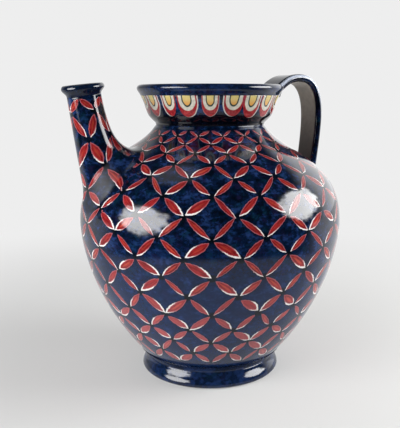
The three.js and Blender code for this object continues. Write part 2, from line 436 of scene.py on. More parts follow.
def newGroup(name, inputs, outputs):
    tree = bpy.data.node_groups.new(name, "ShaderNodeTree")
    for way, labels in (("INPUT", inputs), ("OUTPUT", outputs)):
        for label in labels:
            kind = "NodeSocket" + socketKinds.get(label, "Float")
            tree.interface.new_socket(label, in_out=way, socket_type=kind)
    given = takeAll(tree.nodes.new("NodeGroupInput").outputs)
    return tree, given, tree.nodes.new("NodeGroupOutput").inputs


def useGroup(group, **values):
    return takeAll(place(treeOf(*values.values()), "Group", inputs=values, node_tree=group).outputs)


# Cobalt ground: brushed on in uneven coats, so two sizes of cloud mix a dark, a plain and a pale blue, and
# a third leans it to teal or to purple. The finest noise leaves dark pinholes
groundForm = {
    "cloud": 95,  # marks to the metre
    "fleck": 300,
    "lean": 120,
    "pinhole": 620,
    "squat": 1.4,  # how much wider than tall the clouds are
    "dark": (0, 6, 19),
    "plain": (5, 21, 48),
    "pale": (30, 52, 98),
    "teal": (6, 40, 56),
    "purple": (28, 22, 56),
    "hole": (3, 6, 10),
    "dipped": (14, 27, 52),
    "dippedShare": 0.45,
}


def makeCobaltGround(s):
    tree, given, put = newGroup("cobaltGround", ["Place", "Depth"], ["Paint"])
    squat = take(tree, "Mapping", given["Place"], inputs={"Scale": (1, 1, s["squat"])})
    mixed = noise(squat, s["fleck"], 2, 0.5) * 0.4 + noise(squat, s["cloud"], 2) * 0.6 + given["Depth"]
    coat = mixPaint(easeNode(mixed, 0.38, 0.54), s["dark"], s["plain"])
    coat = mixPaint(easeNode(mixed, 0.5, 0.68), coat, s["pale"])
    lean = noise(given["Place"], s["lean"], 2)
    coat = mixPaint(easeNode(lean, 0.54, 0.7) * 0.5, coat, s["teal"])
    coat = mixPaint(easeNode(lean, 0.46, 0.3) * 0.4, coat, s["purple"])
    pin = noise(given["Place"], s["pinhole"], 1)
    feed(mixPaint(easeNode(pin, 0.66, 0.74) * 0.85, coat, s["hole"]), put["Paint"])
    return tree


# Waves in the glaze: a slow swell from the wheel and a fine ripple, as a height for bump
glazeForm = {
    "swell": 38,  # waves to the metre
    "ripple": 210,
    "rippleShare": 0.12,
    "roughness": (0.05, 0.1),
    "waveDepth": 0.06,
    "paintDepth": 0.03,
    "index": 1.53,  # of refraction
    "lutedDull": 0.5,  # roughness added where the spout was luted on and wiped
}


def makeGlazeWave(s):
    tree, given, put = newGroup("glazeWave", ["Place"], ["Height", "Gloss"])
    ripple = noise(given["Place"], s["ripple"], 2)
    feed(ripple * s["rippleShare"] + noise(given["Place"], s["swell"], 1.5), put["Height"])
    feed(ramp(ripple, 0.3, 0.7, *s["roughness"]), put["Gloss"])
    return tree


# Petals of one slope: each is a red lens between two neighbouring nodes. Its white edge swells along one
# side towards the lower end and stays a thin line elsewhere
petalForm = {
    "reach": 0.77,  # share of the way between nodes
    "reachChance": 0.1,  # how far chance changes it
    "halfWidth": 3.0,
    "widthShare": 0.124,  # half width to the way between nodes, where that is short
    "widthChance": 0.6,  # share by which chance changes it
    "lensPower": 2.3,
    "turn": 0.2,  # most slant by chance
    "slip": 1.1,  # and most shift across, both ways together
    # widths from one row to another
    "shoulder": (-2.0, 3.0, 0.78, 1.0),
    "lower": (8.0, 12.0, 0.9, 1.06),
    "bold": 1.35,  # fuller up the spout, where fewer go round
    "boldRows": (2.0, 3.5),
    "boldAround": (8.0, 16.0),
    "whiteLine": 0.3,
    "white": (2.0, 9.0, 1.1475, 1.6875),  # its swell, from one row to another
    "brushEdge": 0.4,
    "ragged": 1.4,
    "shadow": 1.5,  # cobalt drawn darker round a petal
}


def makePetalStroke(s):
    tree, given, put = newGroup("petalStroke", ["Column", "Row", "Wide", "Tall", "Slope", "Around"],
                                ["Red", "White", "Bright", "Shadow", "Middle", "Streak", "Chance"])
    column, row, wide, tall, slope, around = given.values()
    # cells of the lattice counted along both slopes, then the way along and across the petal in one
    over, rise = column + 1.0, row * slope
    p, q = (over + rise) * 0.5, (over - rise) * 0.5
    pCell, qCell = maths("FLOOR", p), maths("ROUND", q)
    dp, dq = p - pCell - 0.5, q - qCell
    x, y = (dp + dq) * wide, (dp - dq) * tall
    span = maths("SQRT", wide * wide + tall * tall)
    along = (x * wide + y * tall) / span
    across = (y * wide - x * tall) / span
    # chance of this petal, the same where the count of columns comes round again
    cell = maths("FLOORED_MODULO", pCell + qCell, around)
    key = take(tree, "CombineXYZ", cell, pCell - qCell, slope)
    dice = takeAll(place(tree, "TexWhiteNoise", key, noise_dimensions="3D").outputs)
    one, two, three = [chance - 0.5 for chance in split(dice["Color"], "Color")]
    across = across + along * one * s["turn"] + two * s["slip"]
    # lens: full width times one less a power of the share of its length
    share = along / (span * (three * s["reachChance"] + s["reach"] / 2))
    lens = 1.0 - maths("POWER", abs(share), s["lensPower"])
    full = maths("MINIMUM", span * s["widthShare"], s["halfWidth"]) * (one * s["widthChance"] + 1.0)
    bold = ramp(row, *s["boldRows"], ramp(around, *s["boldAround"], s["bold"], 1.0), 1.0)
    full = full * (ramp(row, *s["shoulder"]) * ramp(row, *s["lower"]) * bold)
    edge = lens * full - abs(across)
    ragged = noise(take(tree, "CombineXYZ", along, across, one * 90.0), 0.5, 2)
    edge = edge + (ragged - 0.5) * s["ragged"]
    soft = s["brushEdge"] / 2
    feed(easeNode(edge, -soft, soft), put["Red"])
    feed(maths("DIVIDE", edge, full, use_clamp=True), put["Middle"])
    # white edge
    flank = easeNode(across * maths("SIGN", two), -0.4, 0.4)
    toEnd = share * slope
    luck = dice["Value"] * easeNode(row, -3.0, 3.0)
    swell = easeNode(toEnd, -0.6, 0.9) * (luck * 0.8 + 0.2)
    other = easeNode(toEnd, 0.0, 1.0) * easeNode(luck, 0.35, 0.9) * 0.5
    shown = between(flank, other, swell)
    outer = edge + (shown * ramp(row, *s["white"]) + s["whiteLine"])
    feed(easeNode(outer, -soft, soft), put["White"])
    feed(easeNode(shown, 0.05, 0.4), put["Bright"])
    feed(easeNode(outer + s["shadow"], 0.0, s["shadow"]), put["Shadow"])
    # hairs of the brush run along the petal
    hairs = take(tree, "CombineXYZ", along * 0.1, across, one * 40.0)
    feed(noise(hairs, 1.1, 2), put["Streak"])
    feed(two + 0.5, put["Chance"])
    return tree


# Painted lattice: both slopes of petals over the cobalt, with dark crossings at the nodes
petalPaint = {
    "wander": 22,  # marks to the metre
    "blot": 260,
    "sway": 0.3,  # share of a cell by which a hand's unsteadiness moves the lattice
    "crossing": (3.8, 7.0),  # its edge, from the node
    "lowGround": (14, 44, 92),  # low on the belly the ground turns a paler blue
    "shadow": (3, 10, 20),
    "dark": (3, 7, 12),
    "deepRed": (94, 14, 22),
    "red": (154, 36, 40),
    "orange": (188, 72, 52),
    "pink": (188, 92, 94),
    "palePink": (206, 122, 130),
    "line": (150, 96, 108),
    "white": (228, 224, 222),
}


def makePaintedPetals(s, stroke, ground):
    names = ["Place", "Column", "Row", "Wide", "Tall", "Around", "Plain"]
    tree, given, put = newGroup("paintedPetals", names, ["Paint", "Relief"])
    here, _, _, wide, tall, around, plain = given.values()
    sway, lift, _ = split(noise(here, s["wander"], 1, 0.5, "Color"), "Color")
    column = given["Column"] + (sway - 0.5) * s["sway"]
    row = given["Row"] + (lift - 0.5) * s["sway"]
    up, down = [useGroup(stroke, Column=column, Row=row, Wide=wide, Tall=tall, Slope=slope, Around=around)
                for slope in (1.0, -1.0)]
    shown = 1.0 - plain
    red, white, shadow = [maths("MAXIMUM", up[label], down[label]) * shown
                          for label in ("Red", "White", "Shadow")]
    bright = between(maths("GREATER_THAN", up["White"], down["White"]), down["Bright"], up["Bright"])
    first = maths("GREATER_THAN", up["Red"], down["Red"])
    streak, chance, middle = [between(first, down[label], up[label])
                              for label in ("Streak", "Chance", "Middle")]
    # dark crossings, by the distance from the nearest node
    sums = [(column + 1.0 + row * sign) * 0.5 for sign in (1.0, -1.0)]
    a, b = [value - maths("ROUND", value) for value in sums]
    acrossNode, downNode = (a + b) * wide, (a - b) * tall
    fromNode = maths("SQRT", acrossNode * acrossNode + downNode * downNode)
    fromNode = fromNode + noise(here, s["blot"], 2) * 4.0
    dark = (1.0 - easeNode(fromNode, *s["crossing"])) * shown * 0.9
    coat = useGroup(ground, Place=here, Depth=0.0)["Paint"]
    coat = mixPaint(easeNode(given["Row"], 4.0, 9.0) * 0.45, coat, s["lowGround"])
    coat = mixPaint(shadow * 0.6, coat, s["shadow"])
    coat = mixPaint(dark, coat, s["dark"])
    # reds: streaked, orange in the middle, pink at the edge and paler low on the belly
    reds = mixPaint(easeNode(streak, 0.35, 0.7), s["deepRed"], s["red"])
    reds = mixPaint(easeNode(middle, 0.45, 0.95) * (chance * 0.8), reds, s["orange"])
    reds = mixPaint(easeNode(middle, 0.3, 0.02) * 0.55, reds, s["pink"])
    reds = mixPaint(easeNode(given["Row"], 6.0, 11.0) * 0.3, reds, s["palePink"])
    painted = mixPaint(white, coat, mixPaint(bright, s["line"], s["white"]))
    feed(mixPaint(red, painted, reds), put["Paint"])
    feed(maths("MAXIMUM", red, white * 0.7), put["Relief"])
    return tree


cobaltGround = makeCobaltGround(groundForm)
glazeWave = makeGlazeWave(glazeForm)
paintedPetals = makePaintedPetals(petalPaint, makePetalStroke(petalForm), cobaltGround)
print("node groups made")


# Materials: they read Object coordinates, and a piece's maps and marks where the paint follows its face
def newMaterial(name):
    material = bpy.data.materials.new(name)
    tree = emptyTree(material)
    shader = place(tree, "BsdfPrincipled")
    place(tree, "OutputMaterial", nodeValue(shader.outputs[0]))
    return material, shader.inputs, take(tree, "TexCoord", output="Object")


def mark(tree, name):
    return take(tree, "Attribute", output="Fac", attribute_name=name)


def gloss(put, here, colour, relief=None, dull=None):
    # clear glaze over a colour: hard reflection, shallow waves, the paint's thickness, and dull where wiped
    feed(colour, put["Base Color"])
    wave = useGroup(glazeWave, Place=here)
    normal = bumped(wave["Height"], glazeForm["waveDepth"])
    if relief is not None:
        normal = bumped(relief, glazeForm["paintDepth"], normal)
    feed(normal, put["Normal"])
    feed(wave["Gloss"] if dull is None else dull + wave["Gloss"], put["Roughness"])
    put["IOR"].default_value = glazeForm["index"]


def latticeGlaze(name, around):
    material, put, here = newMaterial(name)
    column, row, _ = split(take(here.tree, "UVMap", uv_map="lattice"))
    wide, tall, _ = split(take(here.tree, "UVMap", uv_map="cell"))
    made = useGroup(paintedPetals, Place=here, Column=column, Row=row, Wide=wide, Tall=tall,
                    Around=float(around), Plain=mark(here.tree, "plain"))
    gloss(put, here, made["Paint"], made["Relief"], mark(here.tree, "luted") * glazeForm["lutedDull"])
    return material


def cobaltGlaze(name, depth):
    # plain pieces were dipped, so their coat is evener
    material, put, here = newMaterial(name)
    coat = useGroup(cobaltGround, Place=here, Depth=depth)["Paint"]
    gloss(put, here, mixPaint(groundForm["dippedShare"], coat, groundForm["dipped"]))
    return material


def insideGlaze():
    # pale grey-cream glaze with faint rings from the wheel
    material, put, here = newMaterial("insideGlaze")
    rings = take(here.tree, "TexWave", here, 60, 2, output="Fac", bands_direction="Z")
    tone = mixPaint(easeNode(noise(here, 30), 0.3, 0.7), (186, 176, 156), (208, 200, 182))
    gloss(put, here, mixPaint(rings * 0.2, tone, (160, 148, 126)))
    return material


def bareClay():
    # unglazed fired clay: speckled buff, matt
    material, put, here = newMaterial("bareClay")
    grain = noise(here, 900)
    feed(mixPaint(easeNode(grain, 0.35, 0.7), (150, 112, 84), (190, 152, 120)), put["Base Color"])
    feed(bumped(grain, depth=0.15), put["Normal"])
    put["Roughness"].default_value = 0.85
    return material


bodyGlaze = latticeGlaze("bodyGlaze", 2 * lattice["columns"])
spoutGlaze = latticeGlaze("spoutGlaze", 8)
insideCoat = insideGlaze()
clay = bareClay()
rimGlaze = cobaltGlaze("rimGlaze", 0.03)
footGlaze = cobaltGlaze("footGlaze", 0.05)
lipGlaze = cobaltGlaze("lipGlaze", -0.09)


# Body: the outline turned about Z, with the inner wall and bowl, and a hole where the spout's bore comes in
def makeBody(s):
    inner = toTheLeft(bellyLine, s["wall"])[::-1][6::2]
    inner[0] = (s["waistRadius"] - s["wall"], waistTall)
    edge = inner[-1]
    slope = math.tan(math.radians(s["seamRise"]))
    corner = np.array([edge[0] - (edge[1] - s["floor"]) / slope, s["floor"]])
    floor = (0, s["floor"])
    bowl = bezier([edge, edge + (corner - edge) * 2 / 3, (corner[0] * 2 / 3, s["floor"]), floor], count=16)
    base = np.array([(0, 0), (s["baseRadius"] * 0.5, 0), (s["baseRadius"], 0)])
    line = joined(base, bellyLine, inner, bowl)
    grid = thrown(line, s["turns"])
    maps = latticePlace(grid)
    # the last column of the map carries on past the first, so no face spans the jump
    start = int(np.argmin(maps[0][len(base)]))
    grid = np.roll(grid, -start, axis=1)
    maps = [np.roll(values, -start, axis=1) for values in maps]
    column, row, wide, tall = [np.hstack([values, values[:, :1]]) for values in maps]
    column[:, -1] += 2 * lattice["columns"]
    height = grid[..., 2]
    plain = ease(height, *[waistTall - below for below in s["bareWaist"]])
    plain = plain + ease(-height, *[-footTop - above for above in s["bareFoot"]])
    outside = len(bellyLine) - 1
    glazes = np.repeat([2, 0, 1], [len(base), outside, len(line) - 1 - len(base) - outside])
    return addPiece("jugBody", grid, ["body_shell"], [bodyGlaze, insideCoat, clay],
                    closeRows=False, maps=latticeMaps(column, row, wide, tall),
                    marks={"plain": np.clip(plain, 0, 1)}, faceMaterial=glazes)


jugBody = makeBody(bodyForm)


# Foot: a ring that flares downwards, with a hollow moulding between it and the belly
footForm = {
    "contact": 66.2,
    "flare": [(70.4, 2.9), (69.9, 5.0), (68.9, 7.3), (67.4, 9.6), (66.1, 12.0), (65.3, 14.2)],
    "hollow": [(64.9, 15.0), (65.0, 16.2), (66.6, 19.0), (69.4, 21.6), (72.7, 23.25)],
    "gap": (0.3, 0.1),  # from the base disc, and past the body's seam
    "turns": 160,
}


def makeFoot(s):
    bottom = quarterRound((s["contact"], 0), s["flare"][0], upright=False, count=8)
    outer = throughPoints(s["flare"] + s["hollow"], count=70)
    inside = (bodyForm["baseRadius"] + s["gap"][0], 0)
    seam = (bodyForm["seamRadius"] + s["gap"][1], footTop)
    line = joined(np.array([inside]), bottom, outer, np.array([seam]))
    return addPiece("footRing", thrown(line, s["turns"]), ["foot_ring"], [footGlaze])


makeFoot(footForm)


# Collar and rim: a flared wall thrown from the waist, and a rolled edge on it
collarForm = {
    "wall": 6,
    "outline": [(54.2, 250.3), (57.2, 253.2), (60.6, 257.3), (63.2, 263.6), (65.2, 269.7), (68, 276)],
    "rimThickness": 7.5,
    "rimRoll": 3.8,
    "rimPulls": ((1.3, 2.8), (0.25, 2.2), (1, 2.4)),  # of the flare's two ends and of the back
    "rimInside": 9,  # rows of faces at the rim's back that have the inside's glaze
    "turns": 192,
}

# Tongues: nested round-ended bands hanging from the rim, each a shape x/W, depth/D cut where the two
# squares sum to one
tongueForm = {
    "count": 20,
    "phase": 0.4,  # degrees by which a tongue lies right of the camera's line
    "radius": 66,  # of the collar, where widths are measured
    "straight": 0.35,  # share of a band above its round end
    "brushEdge": 0.3,
    # half width and reach of each band
    "edge": (9.6, 19.7),
    "red": (9.4, 19.5),
    "cream": (8.0, 13.7),
    "green": (4.8, 10.4),
    "yellow": (3.6, 8.9),
    # how far chance moves a tongue, its edge and its outline, and the range and least of its size
    "slip": 2.4,
    "edgeSlip": 2.6,
    "wobble": 1.6,
    "width": (0.36, 0.78),
    "depth": (0.2, 0.9),
}
tonguePaint = {
    # seam: painted shade, near black over the collar's lower part towards the waist
    "seam": (4, 6, 14),
    "edge": (212, 208, 200),
    "reds": ((122, 24, 32), (160, 46, 50)),
    "creams": ((176, 174, 162), (200, 195, 182)),
    "green": (26, 50, 50),
    "yellows": ((196, 178, 112), (202, 148, 78)),
}


def makeTongueBorder(s, paints, ground):
    tree, given, put = newGroup("tongueBorder", ["Place", "Number", "Depth"], ["Paint", "Relief"])
    here, number, depth = given.values()
    middle = maths("ROUND", number)
    which = maths("FLOORED_MODULO", middle, float(s["count"]))
    dice = take(tree, "TexWhiteNoise", None, which, output="Color", noise_dimensions="1D")
    one, two, three = split(dice, "Color")
    x = (number - middle) * (math.tau * s["radius"] / s["count"])
    x = x + (one - 0.5) * s["slip"] + (noise(here, 120, 2) - 0.5) * s["wobble"]
    x = x / (two * s["width"][0] + s["width"][1])
    deep = depth / (three * s["depth"][0] + s["depth"][1])

    def band(halfWidth, reach, shift=0.0):
        straight = reach * s["straight"]
        down = maths("MAXIMUM", deep - straight, 0.0) / (reach - straight)
        over = (x - shift) / halfWidth
        soft = s["brushEdge"] / halfWidth
        return 1.0 - easeNode(maths("SQRT", over * over + down * down), 1 - soft, 1 + soft)

    coat = useGroup(ground, Place=here, Depth=0.04)["Paint"]
    # painted shade: near black below the tongues, down to the waist
    shade = mixPaint(easeNode(depth, 15.0, 21.0), coat, paints["seam"])
    hairs = easeNode(noise(here, 420, 2), 0.35, 0.7)
    outer, red = band(*s["edge"], (one - 0.5) * s["edgeSlip"]), band(*s["red"])
    shade = mixPaint(outer * 0.7, shade, paints["edge"])
    shade = mixPaint(red, shade, mixPaint(hairs, *paints["reds"]))
    shade = mixPaint(band(*s["cream"]), shade, mixPaint(hairs, *paints["creams"]))
    shade = mixPaint(band(*s["green"]), shade, paints["green"])
    yellows = mixPaint(easeNode(depth, 2.0, 9.0), *paints["yellows"])
    feed(mixPaint(band(*s["yellow"]), shade, yellows), put["Paint"])
    feed(maths("MAXIMUM", outer, red), put["Relief"])
    return tree


tongueBorder = makeTongueBorder(tongueForm, tonguePaint, cobaltGround)


def collarGlaze():
    material, put, here = newMaterial("collarGlaze")
    number, depth, _ = split(take(here.tree, "UVMap", uv_map="border"))
    made = useGroup(tongueBorder, Place=here, Number=number, Depth=depth)
    gloss(put, here, made["Paint"], made["Relief"])
    return material


def makeCollar(s, tongues):
    outer = throughPoints([bellyLine[-1]] + s["outline"], count=50)
    inner = toTheLeft(outer, s["wall"])[::-1][::2]
    inner[0] = outer[-1] - (s["wall"], 0)
    inner[-1] = (bodyForm["waistRadius"] - bodyForm["wall"], waistTall)
    grid = thrown(np.vstack([outer, inner]), s["turns"])
    # border: number of the tongue by angle, and depth below the rim
    angle = np.linspace(0, 360, s["turns"] + 1)
    number = (angle - cameraAngle - tongues["phase"]) * tongues["count"] / 360
    depth = np.append(lengthAlong(outer)[-1] - lengthAlong(outer), np.zeros(len(inner) + 1))
    border = np.stack(np.broadcast_arrays(number[None, :], depth[:, None]), -1)
    glazes = np.repeat([0, 1], [len(outer) - 1, len(inner) + 1])
    return addPiece("neckCollar", grid, ["neck_collar"], [collarGlaze(), insideCoat],
                    maps={"border": border}, faceMaterial=glazes)


def makeRim(s):
    radii = (rimWide, rimWide - s["rimThickness"])
    line = rolledEdge(s["outline"][-1], radii, rimTall, s["rimRoll"], s["wall"], s["rimPulls"], 12)
    glazes = np.repeat([0, 1], [len(line) - s["rimInside"], s["rimInside"]])
    return addPiece("rimRoll", thrown(line, s["turns"]), ["rim_roll"],
                    [rimGlaze, insideCoat], faceMaterial=glazes)


makeCollar(collarForm, tongueForm)
makeRim(collarForm)


# Spout: a tube on an arc that spreads in a fillet over the shoulder
spoutForm = {
    "seatDrop": 43.2,  # its centre line leaves the shoulder this far below the waist
    "seatRadius": 107.9,  # and this far from the jug's axis
    "seatLean": 21.4,  # degrees away from the jug there
    "bend": 314,  # radius of the arc
    "rise": 83.4,  # along the arc, from the shoulder's face up to the lip
    "bury": 37.3,  # and down to the buried end
    "throat": 15.4,
    "root": 35,
    "wall": 4.5,
    "lipHeight": 9.6,
    "lipRadius": 19.3,
    "lipRoll": 3.5,
    "lipPulls": ((0.3, 2.4), (0.5, 2.2), (0.4, 2)),  # of the flare's two ends and of the back
    "lipInside": 8,  # rows of faces at the lip's back that have the inside's glaze
    "mouth": 14,
    "filletUp": (17, 34),  # length of the fillet up the tube, on the outer side and in the crook
    "filletOut": (17, 19),  # and over the shoulder
    "filletPull": 0.6,
    "filletTop": 6,  # least distance of the fillet from the lip
    "sink": (2.5, 1.2),  # past the fillet the sheet goes on this far, and this deep into the shoulder
    "turns": 128,
    "filletRows": 34,
    "tubeRows": 40,
    "boreRows": 30,
    # rows of the lattice by distance from the lip, and where its column lies round the tube
    "rows": [(0, -1.7), (10, -1), (23.4, 0), (46, 1), (72, 2), (89, 3), (107, 4), (128, 5), (150, 6)],
    "columnTurn": [(10, 54), (46, 58), (74, 32), (88, 16), (107, 3)],
    "column": -6,
    # half columns by degrees from that one
    "columnAngles": [(-251, -5), (-45, -1), (45, 1), (109, 3), (315, 7)],
    "cut": 250,  # degrees round the tube where the map is cut, on the far flank
    "leastStretch": (0.28, 0.45),  # where the map is pressed or drawn more, there are no petals
    "mostStretch": (2.1, 2.8),
    "bareLip": (11.5, 10),  # nor this close to the lip
}
spoutLength = spoutForm["rise"] + spoutForm["bury"]
tubeTop = spoutLength - spoutForm["lipHeight"]
seatHeight = waistTall - spoutForm["seatDrop"]


def onSpout(s, height, angle, radius):
    # point at a radius and an angle round the centre line, an arc that crosses the shoulder at its seat
    seat = math.radians(s["seatLean"])
    lean = seat + (s["bury"] - height) / s["bend"]
    x = -s["seatRadius"] + s["bend"] * (math.cos(seat) - np.cos(lean))
    z = seatHeight + s["bend"] * (math.sin(seat) - np.sin(lean))
    over = radius * np.cos(angle)
    parts = (x - over * np.cos(lean), -radius * np.sin(angle), z - over * np.sin(lean))
    return np.stack(np.broadcast_arrays(*parts), -1)


def tubeRadius(s, height):
    # widens from the throat to the root with the square of the distance from the lip
    return s["throat"] + (s["root"] - s["throat"]) * (1 - height / tubeTop) ** 2


def onTube(s, height, angle, inset=0):
    # point of the tube's face, or of its bore where the wall is the inset
    return onSpout(s, height, angle, tubeRadius(s, height) - inset)


def whereItMeets(s, angle, wall, inset):
    # height at which each line along the tube, or along its bore, comes out of the belly's wall
    height = np.linspace(0, tubeTop, 1200)[:, None]
    points = onTube(s, height, angle[None, :], inset)
    inside = np.hypot(points[..., 0], points[..., 1]) < bellyRadius(points[..., 2]) - wall
    return height[inside.shape[0] - 1 - np.argmax(inside[::-1], axis=0), 0]


def latticeStretch(grid, column, row, wide, tall):
    # how far the map is from true size: least and greatest stretch of lattice against surface
    di, dj = np.gradient(grid, axis=0), np.gradient(grid, axis=1)
    a, b, c = (di * di).sum(-1), (di * dj).sum(-1), (dj * dj).sum(-1)
    det = np.maximum(a * c - b * b, 1e-9)
    ui, uj = np.gradient(column, axis=0) * wide, np.gradient(column, axis=1) * wide
    vi, vj = np.gradient(row, axis=0) * tall, np.gradient(row, axis=1) * tall
    uu = (c * ui * ui - 2 * b * ui * uj + a * uj * uj) / det
    vv = (c * vi * vi - 2 * b * vi * vj + a * vj * vj) / det
    uv = (c * ui * vi - b * (ui * vj + uj * vi) + a * uj * vj) / det
    mean, spread = (uu + vv) / 2, np.sqrt(((uu - vv) / 2) ** 2 + uv ** 2)
    return np.sqrt(np.maximum(mean - spread, 0)), np.sqrt(mean + spread)


def spoutLattice(s, angle, height, fromLip):
    # the tube's own rows and columns, and their sizes
    rowsAt, rowNumbers = np.array(s["rows"], float).T
    turnAt, turnAngle = np.array(s["columnTurn"], float).T
    angleAt, columnNumbers = np.array(s["columnAngles"], float).T
    turned = np.degrees(angle) - 360 - np.interp(fromLip, turnAt, turnAngle)
    column = s["column"] + np.interp(turned, angleAt, columnNumbers)
    row = np.interp(fromLip, rowsAt, rowNumbers)
    before, after = [np.interp(turned + step, angleAt, columnNumbers) for step in (-10, 10)]
    wide = tubeRadius(s, np.clip(height, 0, tubeTop)) * np.radians(20 / (after - before))
    tall = np.interp(fromLip, rowsAt, np.gradient(rowsAt) / np.gradient(rowNumbers))
    return column, row, wide, tall


def makeSpout(s):
    angle = np.radians(s["cut"]) + np.linspace(0, 2 * np.pi, s["turns"] + 1)
    meets = whereItMeets(s, angle, 0, 0)
    crook = ((1 - np.cos(angle)) / 2) ** 1.3
    up, out = [low + (high - low) * crook for low, high in (s["filletUp"], s["filletOut"])]
    start = np.minimum(meets + up, tubeTop - s["filletTop"])
    # straight part of the tube
    height = start + (tubeTop - start) * np.linspace(0, 1, s["tubeRows"])[:, None]
    tube = onTube(s, height, angle)
    # fillet: a Bezier from the tube's line to the belly's face, along each
    seatPoint = onTube(s, meets, angle)
    away = seatPoint - onSpout(s, meets, angle, 0 * angle)
    theta = np.arctan2(seatPoint[..., 1], seatPoint[..., 0])
    length = np.interp(seatPoint[..., 2], bellyLine[:, 1], bellyLength)
    around = np.stack([-np.sin(theta), np.cos(theta), 0 * theta], -1)
    upFace = onBelly(theta, length + 0.5) - onBelly(theta, length - 0.5)
    upFace /= np.linalg.norm(upFace, axis=-1)[:, None]
    goAround, goUp = (away * around).sum(-1), (away * upFace).sum(-1)
    size = np.hypot(goAround, goUp)
    goAround, goUp = goAround / size, goUp / size

    def overBelly(distance, depth=0.0):
        radius = np.hypot(seatPoint[..., 0], seatPoint[..., 1])
        spot = onBelly(theta + goAround * distance / radius, length + goUp * distance)
        spot[..., :2] *= (1 - depth / np.hypot(spot[..., 0], spot[..., 1]))[..., None]
        return spot

    end = overBelly(out)
    endRun = overBelly(out + 0.5) - overBelly(out - 0.5)
    down = tube[0] - onTube(s, start + 1, angle)
    pullDown = tube[0] + down * (s["filletPull"] * (start - meets))[:, None]
    pullOut = end - endRun * (s["filletPull"] * out)[:, None]
    fillet = bezier([tube[0], pullDown, pullOut, end], s["filletRows"])
    sunkBy, sunkTo = s["sink"]
    sunk = overBelly(out + sunkBy, sunkTo)[None]
    outside = np.concatenate([sunk, fillet[:0:-1], tube])
    # lattice: the tube's own rows and columns, given over to the belly's along the fillet
    share = np.linspace(1, 0, s["filletRows"])[:-1, None]
    overFillet = ease(share, 0.45 * crook ** 2, 1.0)
    given = np.concatenate([np.ones((1, len(angle))), overFillet, np.zeros(tube.shape[:2])])
    reach = out + start - meets
    run = np.concatenate([-(reach + sunkBy)[None], -share * reach, height - start])
    fromLip = spoutLength - (start + run)
    own = spoutLattice(s, angle, start + run, fromLip)
    column, row, wide, tall = [(1 - given) * a + given * b for a, b in zip(own, latticePlace(outside))]
    least, most = latticeStretch(outside, column, row, wide, tall)
    plain = 1 - ease(least, *s["leastStretch"]) + ease(most, *s["mostStretch"])
    plain = np.clip(plain + ease(-fromLip, *[-near for near in s["bareLip"]]), 0, 1)
    luted = ease(given, 0.0, 0.12) * ease(-given, -1.0, -0.6) * (1 - ease(crook, 0.3, 0.6))
    # bore, from the top back down to the inside of the belly
    boreFoot = np.maximum(whereItMeets(s, angle, bodyForm["wall"], s["wall"]) - 1, 0)
    boreHeight = tubeTop + (boreFoot - tubeTop) * np.linspace(0, 1, s["boreRows"])[:, None]
    bore = onTube(s, boreHeight, angle, s["wall"])
    grid = np.concatenate([outside, bore])
    # the bore has no lattice: its cells are plain and of any size
    spare = np.zeros((len(bore) + 1, s["turns"] + 1))
    column, row, wide, tall = [np.vstack([values, spare + rest])
                               for values, rest in ((column, 0), (row, 0), (wide, 20), (tall, 20))]
    plain, luted = [np.vstack([values, spare[1:] + rest])[:, :-1]
                    for values, rest in ((plain, 1), (luted, 0))]
    glazes = np.repeat([0, 1], [len(outside) - 1, len(bore) + 1])
    return addPiece("spoutBody", grid[:, :-1], ["spout_tube", "spout_crook_fill"],
                    [spoutGlaze, insideCoat], maps=latticeMaps(column, row, wide, tall),
                    marks={"plain": plain, "luted": luted}, faceMaterial=glazes)


def makeSpoutLip(s):
    # flared ring: an outline of radius and height above the tube's top, carried on the arc
    line = rolledEdge((s["throat"], tubeTop), (s["lipRadius"], s["mouth"]), spoutLength, s["lipRoll"],
                      s["wall"], s["lipPulls"], 10)
    grid = onSpout(s, line[:, 1:], fullTurn(s["turns"])[None, :], line[:, :1])
    glazes = np.repeat([0, 1], [len(line) - s["lipInside"], s["lipInside"]])
    return addPiece("spoutLip", grid, ["spout_lip"], [lipGlaze, insideCoat],
                    faceMaterial=glazes)


makeSpout(spoutForm)
makeSpoutLip(spoutForm)


# The bore's way through the body's wall: a rod a little wider than the bore is cut away
boreCut = {"turns": 96, "rows": 24, "clear": 0.2, "belowLip": 20}


def openBore(body, s, cutForm):
    angle = fullTurn(cutForm["turns"])[None, :]
    height = np.linspace(0, tubeTop - cutForm["belowLip"], cutForm["rows"])[:, None]
    wide = tubeRadius(s, height) - s["wall"] + cutForm["clear"]
    wide = np.vstack([[[0]], wide, [[0]]])
    height = np.vstack([height[:1], height, height[-1:]])
    rod = onSpout(s, height, angle, wide)
    mesh = newMesh("boreRod", rod * mm, gridFaces(*rod.shape[:2]))
    weld(mesh)
    tool = newObject("boreRod", mesh)
    cut = body.modifiers.new("bore", "BOOLEAN")
    cut.object = tool
    cut.operation = "DIFFERENCE"
    cut.solver = "EXACT"
    graph = bpy.context.evaluated_depsgraph_get()
    done = bpy.data.meshes.new_from_object(body.evaluated_get(graph))
    body.modifiers.clear()
    body.data = done
    bpy.data.objects.remove(tool)
    print("bore cut:", len(done.polygons), "faces")


openBore(jugBody, spoutForm, boreCut)


# Handle: a flat strap from the rim over its crown and down to the shoulder
strapForm = {
    "thickness": 8,
    "widthTop": 40,
    "widthFoot": 30,
    "flat": 0.72,  # share of the section that is flat, between half-round edges
    "root": (66.0, 278.5),
    "rootRise": 43,
    "rootPull": 18,
    "crown": (96.1, 293.7),
    "crownPull": (10.4, 17.6),
    "grip": (121.8, 254.5),
    "gripPull": (24.5, 22.6),
    "foot": (115.0, 188.7),
    "footPull": 14.5,
    "spread": (2.0, 10.0),  # how far its ends swell, and over what length
    "rows": 150,
    # paint: cobalt outside with a painted highlight on its edges over the crown, grey-brown and rubbed
    # inside, with painted light making it paler near the rim
    "highlightPaint": (190, 198, 214),
    "innerPaint": ((77, 70, 67), (180, 175, 162)),
    "innerLightRise": (0.2, 0.29),  # metres, over which painted light turns it pale towards the rim
    "rubbed": (70, 64, 58),
    "innerDull": 0.35,
}


